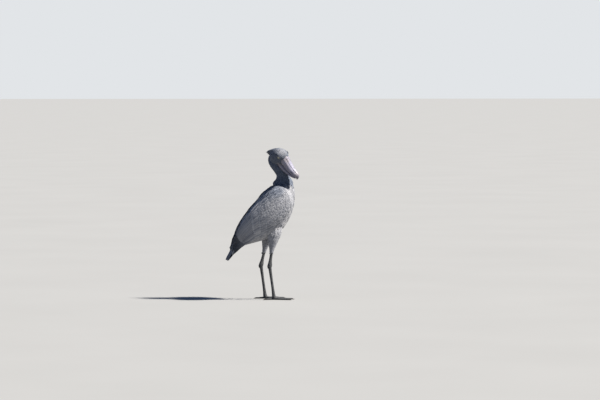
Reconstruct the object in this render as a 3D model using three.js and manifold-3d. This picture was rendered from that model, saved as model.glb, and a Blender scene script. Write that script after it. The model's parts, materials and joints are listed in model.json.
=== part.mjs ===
// A shoebill, standing and life size, with its head turned to its right and its bill held down.
// Millimetres, +Z up. The bird faces +X, its left side is +Y, and its feet stand on Z = 0.
import * as THREE from "three";
import { mergeVertices } from "three/addons/utils/BufferGeometryUtils.js";
import Module from "manifold-3d";

const wasm = await Module();
wasm.setup();

// Gap between pieces that meet.
const GAP = 0.3;

// Head: the point midway between the eyes, and how the bill is held, in degrees. The skull is
// nodded less than the bill by SKULL_BACK.
const HEAD_PLACE = [66, -55, 1131];
const HEAD_TURN = -37;
const HEAD_NOD = 41;
const HEAD_TILT = 27;
const SKULL_BACK = 34;
const EYE_RADIUS = 12.5;
const EYE_OUT = 44;
const EYE_FORWARD = 9;
const EYE_UP = 5;

// Legs: the standing height of each joint, and how far apart the feet are.
const KNEE_HEIGHT = 545;
const ANKLE_HEIGHT = 262;
const FOOT_JOINT_HEIGHT = 17;
const LEG_OUT = 66;
const ANKLE_BACK = 34;
const KNEE_FORWARD = 42;
const FOOT_FORWARD = { right: 2, left: -42 };

// Toes: length without the claw, splay from straight ahead, and half-width at the base. A sole
// is cut flat, SOLE above where its round would end.
const TOES = {
  middle: { length: 142, splay: -3, girth: 9.2 },
  inner: { length: 112, splay: -34, girth: 8.6 },
  outer: { length: 118, splay: 27, girth: 8.6 },
  hind: { length: 66, splay: 172, girth: 8.4 },
};
const CLAW_LENGTH = 25;
const SOLE = 2;

// Faces round a section and lengthwise, so that the whole bird stays light.
const FINE = 16;
const MIDDLE = 12;
const COARSE = 8;

const DEGREE = Math.PI / 180;

const COLOURS = {
  slate: { color: 0x75808a, roughness: 0.85 },
  paleSlate: { color: 0x929aa1, roughness: 0.85 },
  quill: { color: 0x3d444c, roughness: 0.8 },
  horn: { color: 0xb3a795, roughness: 0.45 },
  eye: { color: 0xd9cf9a, roughness: 0.1 },
  leg: { color: 0x33363a, roughness: 0.7 },
  claw: { color: 0x201f1f, roughness: 0.45 },
};

const materialOf = (name) => new THREE.MeshStandardMaterial({ ...COLOURS[name], metalness: 0 });

// A rib is one section of a body: its top and bottom points, its half-width and how square it is.
// 2 is an ellipse and more is boxier. The section lies in the plane of top, bottom and the side way.
const rib = (top, bottom, width, square = 2) => ({ top, bottom, width, square });
const flatRib = (top, bottom, width, square = 2, y = 0) =>
  rib([top[0], y, top[1]], [bottom[0], y, bottom[1]], width, square);

const middle = (r) => r.top.clone().add(r.bottom).multiplyScalar(0.5);

function smoothRibs(ribs, count) {
  const through = (pick) => new THREE.CatmullRomCurve3(ribs.map(pick), false, "centripetal");
  const tops = through((r) => new THREE.Vector3(...r.top));
  const bottoms = through((r) => new THREE.Vector3(...r.bottom));
  const widths = ribs.map((r) => r.width);
  const squares = ribs.map((r) => r.square);
  return Array.from({ length: count + 1 }, (_, i) => {
    const t = i / count;
    return {
      top: tops.getPoint(t),
      bottom: bottoms.getPoint(t),
      width: eased(widths, t),
      square: eased(squares, t),
    };
  });
}

// A smooth value between the listed ones, which are evenly spread from t = 0 to t = 1.
function eased(values, t) {
  const at = t * (values.length - 1);
  const i = Math.min(Math.floor(at), values.length - 2);
  const f = at - i;
  const before = values[Math.max(i - 1, 0)];
  const after = values[Math.min(i + 2, values.length - 1)];
  const [a, b] = [values[i], values[i + 1]];
  const bend = 2 * before - 5 * a + 4 * b - after + f * (3 * (a - b) + after - before);
  return a + 0.5 * f * (b - before + f * bend);
}

const power = (x, e) => Math.sign(x) * Math.abs(x) ** e;

// A closed solid through the ribs. side is the way across them, which may turn to lastSide,
// grow swells every section, and shape may push a section's point along up and side.
function loft(ribs, options = {}) {
  const { round = MIDDLE, along = MIDDLE, side = [0, 1, 0], lastSide = side, grow = 0, shape } = options;
  const [firstWay, lastWay] = [side, lastSide].map((way) => new THREE.Vector3(...way).normalize());
  const points = [];
  const ends = [];
  const smooth = smoothRibs(ribs, along);
  for (const [i, r] of smooth.entries()) {
    const sideWay = firstWay.clone().lerp(lastWay, i / along).normalize();
    const centre = middle(r);
    if (i === 0) centre.addScaledVector(middle(smooth[1]).sub(centre).normalize(), -grow);
    if (i === along) centre.addScaledVector(middle(smooth[along - 1]).sub(centre).normalize(), -grow);
    if (i === 0 || i === along) ends.push(centre.clone());
    const up = r.top.clone().sub(r.bottom);
    const height = up.length() / 2 + grow;
    up.normalize();
    for (let k = 0; k < round; k++) {
      const angle = (2 * Math.PI * k) / round;
      let v = power(Math.sin(angle), 2 / r.square) * height;
      let u = power(Math.cos(angle), 2 / r.square) * (r.width + grow);
      if (shape) [v, u] = shape(v, u, r);
      points.push(centre.clone().addScaledVector(up, v).addScaledVector(sideWay, u));
    }
  }
  const faces = [];
  for (let i = 0; i < along; i++)
    for (let k = 0; k < round; k++) {
      const [a, b] = [i * round + k, i * round + ((k + 1) % round)];
      faces.push(a, b, b + round, a, b + round, a + round);
    }
  const first = points.push(ends[0]) - 1;
  const last = points.push(ends[1]) - 1;
  for (let k = 0; k < round; k++) {
    const next = (k + 1) % round;
    faces.push(first, next, k);
    faces.push(last, along * round + k, along * round + next);
  }
  const geometry = new THREE.BufferGeometry().setFromPoints(points).setIndex(faces);
  return solidOf(geometry);
}

// A three.js geometry as a solid for joining and cutting, its faces turned outwards.
function solidOf(geometry) {
  const bare = geometry.clone();
  for (const name of ["normal", "uv"]) bare.deleteAttribute(name);
  const merged = mergeVertices(bare, 1e-3);
  const vertProperties = new Float32Array(merged.attributes.position.array);
  const triVerts = new Uint32Array(merged.index.array);
  const made = () => new wasm.Manifold(new wasm.Mesh({ numProp: 3, vertProperties, triVerts }));
  if (made().volume() > 0) return made();
  for (let i = 0; i < triVerts.length; i += 3)
    [triVerts[i], triVerts[i + 1]] = [triVerts[i + 1], triVerts[i]];
  return made();
}

function geometryOf(solid) {
  const mesh = solid.getMesh();
  const position = new Float32Array(mesh.numVert * 3);
  for (let i = 0; i < mesh.numVert; i++)
    position.set(mesh.vertProperties.subarray(i * mesh.numProp, i * mesh.numProp + 3), i * 3);
  const geometry = new THREE.BufferGeometry();
  geometry.setAttribute("position", new THREE.BufferAttribute(position, 3));
  geometry.setIndex(new THREE.BufferAttribute(new Uint32Array(mesh.triVerts), 1));
  return geometry;
}

const ball = (centre, radius, detail = 12) =>
  solidOf(new THREE.SphereGeometry(radius, detail, detail / 2).translate(...centre));

// The largest of the separate bodies that a cut leaves.
function mainPiece(solid) {
  const pieces = solid.decompose();
  return pieces.reduce((a, b) => (b.volume() > a.volume() ? b : a));
}

const cutBy = (solid, ...others) => mainPiece(others.reduce((left, other) => left.subtract(other), solid));

const headMatrix = new THREE.Matrix4()
  .makeRotationFromEuler(new THREE.Euler(HEAD_TILT * DEGREE, HEAD_NOD * DEGREE, HEAD_TURN * DEGREE, "ZYX"))
  .setPosition(...HEAD_PLACE);
const onHead = (solid) => solid.transform(headMatrix.elements);

// Trunk, from the root of the neck to the root of the tail.
const trunkRibs = [
  flatRib([56, 920], [150, 930], 48),
  flatRib([18, 898], [170, 894], 84, 2.1),
  flatRib([-22, 856], [181, 840], 97, 2.2),
  flatRib([-70, 804], [182, 772], 112, 2.25),
  flatRib([-116, 752], [164, 690], 119, 2.25),
  flatRib([-160, 700], [126, 604], 120, 2.2),
  flatRib([-198, 648], [70, 534], 115, 2.15),
  flatRib([-226, 600], [-8, 486], 102, 2.1),
  flatRib([-250, 552], [-96, 456], 82),
  flatRib([-272, 506], [-172, 436], 58),
  flatRib([-288, 470], [-226, 424], 32),
  flatRib([-296, 448], [-258, 420], 9),
];
const trunk = (grow = 0) => loft(trunkRibs, { round: FINE, along: FINE, grow });

// Neck, a column from inside the trunk to inside the head, given by its middle line,
// half-depth fore and aft and half-width, on level sections that turn with the head.
const neckLine = [
  { at: [92, 0, 850], deep: 8, wide: 10 },
  { at: [86, 0, 880], deep: 76, wide: 62 },
  { at: [88, 2, 912], deep: 82, wide: 64 },
  { at: [92, 3, 932], deep: 68, wide: 59 },
  { at: [93, 5, 955], deep: 52, wide: 51 },
  { at: [80, 8, 980], deep: 50, wide: 49 },
  { at: [64, 12, 1010], deep: 55, wide: 50 },
  { at: [45, 17, 1040], deep: 58, wide: 50 },
  { at: [28, 21, 1070], deep: 55, wide: 48 },
  { at: [22, 22, 1098], deep: 50, wide: 42 },
  { at: [15, 22, 1122], deep: 38, wide: 34 },
  { at: [17, 18, 1138], deep: 8, wide: 8 },
];
const NECK_TURN = -44;
function neckRibs() {
  return neckLine.map(({ at, deep, wide }, i) => {
    const turn = (NECK_TURN * i * DEGREE) / (neckLine.length - 1);
    const fore = new THREE.Vector3(Math.cos(turn), Math.sin(turn), 0);
    const end = (sign) => new THREE.Vector3(...at).addScaledVector(fore, sign * deep).toArray();
    return rib(end(-1), end(1), wide, 2.05);
  });
}
const neck = (grow = 0) =>
  loft(neckRibs(), {
    round: FINE,
    along: MIDDLE,
    lastSide: [-Math.sin(NECK_TURN * DEGREE), Math.cos(NECK_TURN * DEGREE), 0],
    grow,
  });

// Head in its own frame: X along the bill, Z up, zero midway between the eyes. The ribs are
// listed for a skull in line with the bill, and then bent back behind the eyes.
function bent([x, z]) {
  const turn = (-SKULL_BACK * DEGREE) / (1 + Math.exp((x - 10) / 14));
  return [x * Math.cos(turn) + z * Math.sin(turn), z * Math.cos(turn) - x * Math.sin(turn)];
}
const bentRib = (top, bottom, width, square) => flatRib(bent(top), bent(bottom), width, square);
const headRibs = [
  bentRib([50, 16], [46, -56], 35, 2.3),
  bentRib([40, 24], [34, -66], 44, 2.2),
  bentRib([20, 34], [16, -74], 52, 2.05),
  bentRib([-8, 43], [-8, -80], 58, 2.1),
  bentRib([-36, 47], [-34, -84], 60, 2.2),
  bentRib([-64, 40], [-60, -84], 59, 2.2),
  bentRib([-88, 26], [-82, -78], 50, 2.1),
  bentRib([-106, 4], [-98, -64], 36),
  bentRib([-114, -16], [-108, -48], 17),
  bentRib([-116, -26], [-114, -38], 6),
];
// The brow stands out over each eye, and the face is hollow below it, ahead of the cheek.
function browed(v, u, r) {
  const ahead = (r.top.x + r.bottom.x) / 2;
  const near = (x, at, reach) => Math.exp(-(((x - at) / reach) ** 2));
  const brow = 11 * near(ahead, 6, 26) * near(v, 36, 13);
  const hollow = 3 * near(ahead, 20, 18) * near(v, 2, 12);
  return [v, u + Math.sign(u) * Math.min((brow - hollow) * Math.min(Math.abs(u) / 30, 1), Math.abs(u))];
}
const skull = (grow = 0) => loft(headRibs, { round: FINE, along: MIDDLE, grow, shape: browed });

// Crest, a short tuft lying back over the nape.
const crestRibs = [
  bentRib([-66, 38], [-84, -12], 22),
  bentRib([-92, 28], [-106, -30], 26),
  bentRib([-116, 12], [-124, -38], 22),
  bentRib([-140, -2], [-142, -30], 13),
  bentRib([-166, -12], [-165, -18], 5),
];
const crest = (grow = 0) => loft(crestRibs, { round: COARSE, along: COARSE, grow });

// Bill: the upper half ends in a hook, and a ridge runs along its top.
const upperBillRibs = [
  flatRib([24, 16], [12, -34], 34, 2.3),
  flatRib([42, 19], [34, -44], 40, 2.4),
  flatRib([62, 10], [60, -52], 39.5, 2.4),
  flatRib([90, -3], [90, -59], 36.5, 2.4),
  flatRib([120, -16], [119, -64], 33, 2.4),
  flatRib([148, -25], [147, -67], 30, 2.4),
  flatRib([174, -28], [170, -68], 28.5, 2.4),
  flatRib([196, -32], [188, -67], 24, 2.3),
  flatRib([211, -41], [200, -67], 17, 2.2),
  flatRib([217, -53], [207, -71], 10),
  flatRib([217, -66], [211, -77], 6),
  flatRib([214, -78], [211, -82], 2.5),
];
const RIDGE = { high: 4.5, wide: 9 };
function ridged(v, u, r) {
  const height = r.top.distanceTo(r.bottom) / 2;
  const top = Math.max(v / height, 0);
  return [v + RIDGE.high * top * Math.exp(-((u / RIDGE.wide) ** 2)) * Math.min(r.width / 30, 1), u];
}
const upperBill = (grow = 0) => loft(upperBillRibs, { round: FINE, along: FINE, grow, shape: ridged });

const lowerBillRibs = [
  flatRib([-14, -40], [-18, -70], 32, 2.2),
  flatRib([14, -44], [10, -84], 38, 2.4),
  flatRib([50, -50], [50, -92], 39, 2.5),
  flatRib([90, -58], [92, -94], 37, 2.5),
  flatRib([130, -63], [134, -92], 32, 2.5),
  flatRib([162, -66], [166, -87], 27, 2.5),
  flatRib([184, -67], [188, -81], 20, 2.4),
  flatRib([198, -69], [200, -77], 11, 2.2),
];
const lowerBill = (grow = 0) => loft(lowerBillRibs, { round: MIDDLE, along: COARSE, grow });

// One wing, folded against the trunk: its top and bottom edges in side view, how far out its
// middle lies and how deep it is. The quills behind it go on past the trunk.
const wingRibs = [
  { top: [130, 848], bottom: [150, 792], out: 70, deep: 14 },
  { top: [100, 876], bottom: [154, 738], out: 78, deep: 42 },
  { top: [42, 892], bottom: [122, 674], out: 83, deep: 59 },
  { top: [-22, 866], bottom: [68, 616], out: 86, deep: 66 },
  { top: [-80, 804], bottom: [4, 570], out: 84, deep: 67 },
  { top: [-136, 738], bottom: [-60, 532], out: 78, deep: 63 },
  { top: [-188, 684], bottom: [-116, 500], out: 69, deep: 56 },
  { top: [-228, 630], bottom: [-172, 472], out: 59, deep: 45 },
  { top: [-260, 574], bottom: [-218, 442], out: 49, deep: 33 },
  { top: [-288, 514], bottom: [-260, 410], out: 42, deep: 22 },
  { top: [-314, 454], bottom: [-300, 378], out: 37, deep: 13 },
  { top: [-332, 402], bottom: [-326, 352], out: 34, deep: 5 },
];
const QUILLS_FROM = 6;
const QUILL_LEAN = 30;
const acrossWing = (sign) =>
  wingRibs.map(({ top, bottom, out, deep }) => flatRib(top, bottom, deep, 2.2, sign * out));
const wing = (sign, grow = 0) => loft(acrossWing(sign), { round: MIDDLE, along: FINE, grow });

// Tail, a flat fan of quills under the wing tips.
const tailRibs = [
  flatRib([-240, 528], [-216, 448], 34),
  flatRib([-272, 474], [-248, 426], 46, 2.4),
  flatRib([-302, 422], [-282, 396], 54, 2.8),
  flatRib([-330, 372], [-316, 360], 62, 3),
  flatRib([-354, 328], [-345, 323], 68, 3),
  flatRib([-362, 310], [-358, 308], 66, 3),
];
const tail = (grow = 0) => loft(tailRibs, { round: MIDDLE, along: COARSE, grow });

// One leg's joints, on its side of the body.
function joints(name) {
  const y = (name === "left" ? 1 : -1) * LEG_OUT;
  const foot = FOOT_FORWARD[name];
  return {
    foot: new THREE.Vector3(foot, y, FOOT_JOINT_HEIGHT),
    ankle: new THREE.Vector3(foot - ANKLE_BACK, y * 0.96, ANKLE_HEIGHT),
    knee: new THREE.Vector3(foot * 0.4 + KNEE_FORWARD - ANKLE_BACK, y * 0.86, KNEE_HEIGHT),
  };
}

// Ribs of round limbs between two points: girths are half-thicknesses fore and aft, then across.
function limb(from, to, girths) {
  return girths.map(([share, deep, wide]) => {
    const at = from.clone().lerp(to, share);
    return rib([at.x - deep, at.y, at.z], [at.x + deep, at.y, at.z], wide);
  });
}

const thigh = ({ knee, ankle }, grow = 0) =>
  loft(
    limb(knee, ankle, [
      [-0.3, 16, 12],
      [-0.14, 44, 28],
      [0.04, 62, 40],
      [0.2, 54, 38],
      [0.36, 37, 29],
      [0.5, 24, 21],
      [0.6, 17, 16],
      [0.67, 13.5, 13],
    ]),
    { round: MIDDLE, along: COARSE, grow },
  );
const shank = ({ knee, ankle }, grow = 0) =>
  loft(
    limb(knee, ankle, [
      [0.55, 10, 10],
      [0.62, 12, 11.5],
      [0.74, 12, 11],
      [0.86, 13.5, 12],
      [0.94, 18, 15],
      [1.0, 20, 16.5],
      [1.05, 15, 13],
      [1.08, 5, 5],
    ]),
    { round: COARSE, along: COARSE, grow },
  );
const tarsus = ({ ankle, foot }, grow = 0) =>
  loft(
    limb(ankle, foot, [
      [0.0, 8, 8],
      [0.05, 14, 12.5],
      [0.14, 12.5, 10.5],
      [0.4, 11, 9.5],
      [0.7, 11, 9.5],
      [0.88, 13, 12],
      [0.97, 16, 15.5],
      [1.04, 13, 13],
      [1.062, 8, 8],
    ]),
    { round: COARSE, along: COARSE, grow },
  );

// A toe lies along the ground, with its claw at the end.
function toeRibs(foot, mirror, { length, splay, girth }) {
  const way = mirror * splay * DEGREE;
  const ahead = new THREE.Vector3(Math.cos(way), Math.sin(way), 0);
  const reach = length + CLAW_LENGTH;
  const at = (share) => foot.clone().addScaledVector(ahead, share * length);
  const swell = (share) => girth * (1 - 0.36 * share);
  const joint = (share, high) => {
    const { x, y } = at(share);
    return rib([x, y, high], [x, y, -SOLE], swell(share), 2.4);
  };
  const fleshy = [0, 0.2, 0.4, 0.6, 0.8, 0.93, 1].map((s) => joint(s, 1.9 * swell(s)));
  fleshy[0].top[2] = 2 * FOOT_JOINT_HEIGHT - 4;
  const claw = [0.9, 1, 1 + 0.35 * (reach / length - 1), 1 + 0.7 * (reach / length - 1), reach / length];
  const clawHigh = [9, 11.5, 10.5, 7, 1.6];
  const clawWide = [4.6, 5.2, 4.4, 3, 0.9];
  const horny = claw.map((s, i) => {
    const { x, y } = at(s);
    return rib([x, y, clawHigh[i]], [x, y, -SOLE / 2], clawWide[i], 2.2);
  });
  return { fleshy, horny, side: [-ahead.y, ahead.x, 0] };
}

// Each part's finished solid, by node name.
const solids = {};
const put = (name, look, solid) => {
  solids[name] = { look, solid };
};

// Head, bill, eyes and crest are made in the head's own frame and then set in place.
const eyeAt = (sign) => [EYE_FORWARD, sign * EYE_OUT, EYE_UP];
const sides = { right: -1, left: 1 };
const sockets = Object.values(sides).map((sign) => ball(eyeAt(sign), EYE_RADIUS + GAP));
put("bill_upper", "horn", onHead(upperBill()));
put("bill_lower", "horn", onHead(cutBy(lowerBill(), upperBill(GAP))));
put("crest", "slate", onHead(cutBy(crest(), skull(GAP))));
for (const [name, sign] of Object.entries(sides))
  put("eye_" + name, "eye", onHead(cutBy(ball(eyeAt(sign), EYE_RADIUS), upperBill(GAP), lowerBill(GAP))));

// The neck is parted from the head and from the trunk where they meet.
put("head", "slate", onHead(cutBy(skull(), upperBill(GAP), lowerBill(GAP), ...sockets)));
const headParts = [skull(GAP), lowerBill(GAP), upperBill(GAP), crest(GAP)].map(onHead);
put("neck", "slate", cutBy(neck(), trunk(GAP), ...headParts));
put("trunk", "paleSlate", trunk());

// Legs, from the feathered thigh to the claws.
const legs = Object.fromEntries(Object.keys(sides).map((name) => [name, joints(name)]));
for (const [name, sign] of Object.entries(sides)) {
  const leg = legs[name];
  put("thigh_" + name, "paleSlate", cutBy(thigh(leg), trunk(GAP), shank(leg, GAP)));
  put("shank_" + name, "leg", shank(leg));
  put("tarsus_" + name, "leg", cutBy(tarsus(leg), shank(leg, GAP)));
  const taken = [tarsus(leg, GAP)];
  for (const [toe, size] of Object.entries(TOES)) {
    const { fleshy, horny, side } = toeRibs(leg.foot, sign, size);
    const made = (ribs, along, grow = 0) =>
      loft(ribs, { round: COARSE, along, side, grow }).trimByPlane([0, 0, 1], 0);
    put("toe_" + toe + "_" + name, "leg", cutBy(made(fleshy, 7), ...taken));
    put("claw_" + toe + "_" + name, "claw", cutBy(made(horny, 4), made(fleshy, 7, GAP)));
    taken.push(made(fleshy, 7, GAP));
  }
}

// Wings lie over the trunk and thighs. Each is parted into its coverts and its quills by a
// plane square to quillWay, through the middle of the rib where the quills start.
const quillWay = [-Math.sin(QUILL_LEAN * DEGREE), 0, -Math.cos(QUILL_LEAN * DEGREE)];
const quillStart = (() => {
  const { top, bottom } = wingRibs[QUILLS_FROM];
  return (quillWay[0] * (top[0] + bottom[0]) + quillWay[2] * (top[1] + bottom[1])) / 2;
})();
for (const [name, sign] of Object.entries(sides)) {
  const folded = cutBy(wing(sign), trunk(GAP), thigh(legs[name], GAP));
  const backWay = quillWay.map((x) => -x);
  put("quills_" + name, "quill", mainPiece(folded.trimByPlane(quillWay, quillStart + GAP)));
  put("wing_" + name, "slate", mainPiece(folded.trimByPlane(backWay, -quillStart)));
}
put("tail", "quill", cutBy(tail(), trunk(GAP), wing(-1, GAP), wing(1, GAP)));

// The whole bird, its base set midway under its own box.
const bird = new THREE.Group();
const box = new THREE.Box3();
for (const [name, { look, solid }] of Object.entries(solids)) {
  const geometry = geometryOf(solid);
  geometry.computeBoundingBox();
  box.union(geometry.boundingBox);
  const place = geometry.boundingBox.getCenter(new THREE.Vector3());
  const mesh = new THREE.Mesh(geometry.translate(-place.x, -place.y, -place.z), materialOf(look));
  mesh.name = name;
  mesh.position.copy(place);
  bird.add(mesh);
}
const centre = box.getCenter(new THREE.Vector3());
bird.position.set(-centre.x, -centre.y, -box.min.z);

export default bird;
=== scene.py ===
import json
import math

import bpy
import numpy as np
from mathutils import Matrix, Vector
from mathutils.bvhtree import BVHTree
from mathutils.kdtree import KDTree

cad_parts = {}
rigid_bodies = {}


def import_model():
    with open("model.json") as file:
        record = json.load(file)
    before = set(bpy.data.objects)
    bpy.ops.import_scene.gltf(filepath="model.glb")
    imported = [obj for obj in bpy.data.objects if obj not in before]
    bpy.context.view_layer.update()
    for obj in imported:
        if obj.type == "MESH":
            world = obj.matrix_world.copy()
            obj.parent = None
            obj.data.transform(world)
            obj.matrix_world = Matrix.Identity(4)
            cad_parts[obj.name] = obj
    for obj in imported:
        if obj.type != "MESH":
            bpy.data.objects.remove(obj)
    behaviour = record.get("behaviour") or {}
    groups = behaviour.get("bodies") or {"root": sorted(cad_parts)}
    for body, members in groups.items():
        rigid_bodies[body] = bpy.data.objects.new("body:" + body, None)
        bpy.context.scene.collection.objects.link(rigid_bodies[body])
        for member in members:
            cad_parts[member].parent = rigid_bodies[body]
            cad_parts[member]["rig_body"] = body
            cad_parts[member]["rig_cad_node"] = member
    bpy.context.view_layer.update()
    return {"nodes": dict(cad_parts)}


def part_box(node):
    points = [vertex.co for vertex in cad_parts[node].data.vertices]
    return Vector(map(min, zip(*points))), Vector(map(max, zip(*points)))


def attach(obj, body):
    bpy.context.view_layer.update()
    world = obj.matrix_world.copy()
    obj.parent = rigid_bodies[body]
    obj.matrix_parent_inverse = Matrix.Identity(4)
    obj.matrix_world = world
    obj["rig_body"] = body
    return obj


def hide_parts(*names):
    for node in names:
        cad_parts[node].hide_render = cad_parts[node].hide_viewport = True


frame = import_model()

# Camera: a long lens about twenty metres off, at a standing person's eye height, looking
# slightly down at the bird's right side from a little behind its shoulder.
VIEW_TURN = math.radians(12)
CAMERA_AWAY = 20.0
CAMERA_HEIGHT = 1.636
PIXELS_A_UNIT = 2560
BIRD_LEFT_OF_MIDDLE = 28
PIXELS_DOWN = 110
ahead = Vector((math.sin(VIEW_TURN), math.cos(VIEW_TURN), 0))
to_right = Vector((math.cos(VIEW_TURN), -math.sin(VIEW_TURN), 0))
breast_foot = Vector((0.0841, 0, 0))
shifted = BIRD_LEFT_OF_MIDDLE / PIXELS_A_UNIT * CAMERA_AWAY
stand = breast_foot + to_right * shifted - ahead * CAMERA_AWAY + Vector((0, 0, CAMERA_HEIGHT))
looking = (math.pi / 2 - math.atan(PIXELS_DOWN / PIXELS_A_UNIT), 0, -VIEW_TURN)
bpy.ops.object.camera_add(location=stand, rotation=looking)
camera = bpy.context.object
camera.data.sensor_width = 36
camera.data.lens = 36 * PIXELS_A_UNIT / 600
camera.data.clip_end = 2000
bpy.context.scene.camera = camera

# Floor and light: a plain pale floor under an even pale sky, and one soft lamp high on the
# right, where the sun stands in the photograph. The sky is dimmer on the bird than it looks.
FLOOR_SIZE = 900
LAMP_RIGHT, LAMP_NEARER, LAMP_UP = 0.66, 0.06, 0.75
LAMP_STRENGTH = 11.5
SKY_ON_BIRD = 0.3


class Shade:
    """One output in a material's nodes. Arithmetic on it adds Math nodes."""

    def __init__(self, tree, socket=None):
        self.tree = tree
        self.socket = socket

    def make(self, kind, settings, inputs, output=0):
        node = self.tree.nodes.new(kind)
        for name, value in settings.items():
            setattr(node, name, value)
        for name, value in inputs.items():
            if isinstance(value, Shade):
                self.tree.links.new(value.socket, node.inputs[name])
            else:
                node.inputs[name].default_value = value
        return Shade(self.tree, node.outputs[output])

    def maths(self, how, *others):
        return self.make("ShaderNodeMath", {"operation": how}, dict(enumerate((self,) + others)))

    def __add__(self, other):
        return self.maths("ADD", other)

    __radd__ = __add__

    def __mul__(self, other):
        return self.maths("MULTIPLY", other)

    def __sub__(self, other):
        return self.maths("SUBTRACT", other)

    def __rsub__(self, other):
        return self.make("ShaderNodeMath", {"operation": "SUBTRACT"}, {0: other, 1: self})

    def size(self):
        return self.maths("ABSOLUTE")

    def least(self, other):
        return self.maths("MINIMUM", other)

    def wave(self):
        return self.maths("SINE")

    def step(self, low, high):
        """0 up to low, 1 from high, and smooth between. low may be the larger."""
        flipped = low > high
        near, far = (high, low) if flipped else (low, high)
        eased = self.make(
            "ShaderNodeMapRange",
            {"interpolation_type": "SMOOTHSTEP"},
            {"Value": self, "From Min": near, "From Max": far},
        )
        return 1 - eased if flipped else eased

    def mixed(self, first, second):
        """first where this is 0 and second where it is 1, both colours."""
        return self.make("ShaderNodeMix", {"data_type": "RGBA"}, {0: self, 6: first, 7: second}, 2)

    def attribute(self, name):
        return self.make("ShaderNodeAttribute", {"attribute_name": name}, {}, "Fac")

    def noise(self, scale, detail=3.0, roughness=0.5, stretch=(1, 1, 1), turn=(0, 0, 0)):
        where = self.make("ShaderNodeTexCoord", {}, {}, "Object")
        where = self.make("ShaderNodeMapping", {}, {"Vector": where, "Scale": stretch, "Rotation": turn})
        inputs = {"Vector": where, "Scale": scale, "Detail": detail, "Roughness": roughness}
        return self.make("ShaderNodeTexNoise", {}, inputs)

    def bump(self, height, strength, deep):
        inputs = {"Height": height, "Strength": strength, "Distance": deep}
        return self.make("ShaderNodeBump", {}, inputs)


def paint(red, green, blue):
    """A colour as seen on a screen, 0 to 255, as the shader wants it."""
    return tuple(((c / 255 + 0.055) / 1.055) ** 2.4 for c in (red, green, blue)) + (1.0,)


def finish_of(name, constants):
    """A new material, the start of its nodes and its shader's sockets."""
    material = bpy.data.materials.new(name)
    material.use_nodes = True
    shader = material.node_tree.nodes["Principled BSDF"]
    for socket, value in constants.items():
        shader.inputs[socket].default_value = value
    return material, Shade(material.node_tree), shader.inputs


def feed(start, sockets, **made):
    for name, value in made.items():
        start.tree.links.new(value.socket, sockets[name.replace("_", " ")])


bpy.ops.mesh.primitive_plane_add(size=FLOOR_SIZE, location=(0, 0, -0.0003))
floor = bpy.context.object
floor.name = "floor"
floor_paint, start, sockets = finish_of("floor_paint", {"Roughness": 0.9, "Specular IOR Level": 0.2})
cloudy = start.noise(0.7, 4.0)
feed(start, sockets, Base_Color=cloudy.mixed(paint(134, 134, 132), paint(140, 140, 138)))
floor.data.materials.append(floor_paint)

sky = bpy.data.worlds.new("sky")
sky.use_nodes = True
start = Shade(sky.node_tree)
shining, seen = paint(140, 180, 245), paint(226, 229, 232)
seen_straight = start.make("ShaderNodeLightPath", {}, {}, "Is Camera Ray")
fed = sky.node_tree.nodes["Background"].inputs
strength = seen_straight * (1 - SKY_ON_BIRD) + SKY_ON_BIRD
sky.node_tree.links.new(strength.socket, fed["Strength"])
sky.node_tree.links.new(seen_straight.mixed(shining, seen).socket, fed["Color"])
bpy.context.scene.world = sky
bpy.context.scene.view_settings.view_transform = "Standard"
sun_way = to_right * LAMP_RIGHT - ahead * LAMP_NEARER + Vector((0, 0, LAMP_UP))
facing = sun_way.to_track_quat("Z", "Y").to_euler()
bpy.ops.object.light_add(type="SUN", location=sun_way * 6, rotation=facing)
key_lamp = bpy.context.object
key_lamp.name = "key_lamp"
key_lamp.data.energy = LAMP_STRENGTH
key_lamp.data.angle = math.radians(5)
key_lamp.data.color = (1.0, 0.955, 0.9)

# Skin: one hide over head, neck, trunk, thighs, wings and tail stump, cast from the solids and
# sunk by the depth of the plumage that stands on it. It reaches the bill and the eyes unsunk.
LIMBS = ("thigh_right", "thigh_left", "wing_right", "wing_left", "quills_right", "quills_left")
FLESH = ("head", "neck", "trunk", "crest") + LIMBS + ("tail",)
# How deep the plumage is on each part, in millimetres, and how pale, from 0 for slate to 1.
PLUMAGE = {
    # Head and neck are set near slate: partly their own colour, partly painted shade on the face and neck.
    "head": (3.2, 0.1),
    "crest": (9, 0.2),
    "neck": (7, 0.08),
    "trunk": (11, 0.98),
    "thigh": (8, 0.85),
    "wing": (8, 0.85),
    "quills": (9, 0.4),
    "tail": (7, 0.35),
}
HEAD_PLACE = Vector((0.1501, -0.055, 1.131))
HEAD_TURN, HEAD_NOD, HEAD_TILT = (math.radians(a) for a in (-37, 41, 27))
turned = Matrix.Rotation(HEAD_TURN, 4, "Z") @ Matrix.Rotation(HEAD_NOD, 4, "Y")
turned = turned @ Matrix.Rotation(HEAD_TILT, 4, "X")
on_head = Matrix.Translation(HEAD_PLACE) @ turned
head_turn = np.array(turned.to_3x3())
# The way feathers lie on each part, before it is laid flat on the skin.
LIE = {
    "head": head_turn @ (-0.83, 0, -0.56),
    "crest": head_turn @ (-0.83, 0, -0.56),
    "neck": (0.33, -0.08, -0.94),
    "trunk": (-0.62, 0, -0.78),
    "thigh": (-0.14, 0, -0.99),
    "wing": (-0.7, 0, -0.71),
    "quills": (-0.64, 0, -0.77),
    "tail": (-0.55, 0, -0.83),
}


def pick(*things):
    """Selects these and nothing else, the first as the active one."""
    bpy.ops.object.select_all(action="DESELECT")
    for thing in things:
        thing.select_set(True)
    bpy.context.view_layer.objects.active = things[0]


def smooth(mesh):
    mesh.polygons.foreach_set("use_smooth", np.ones(len(mesh.polygons), bool))


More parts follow.
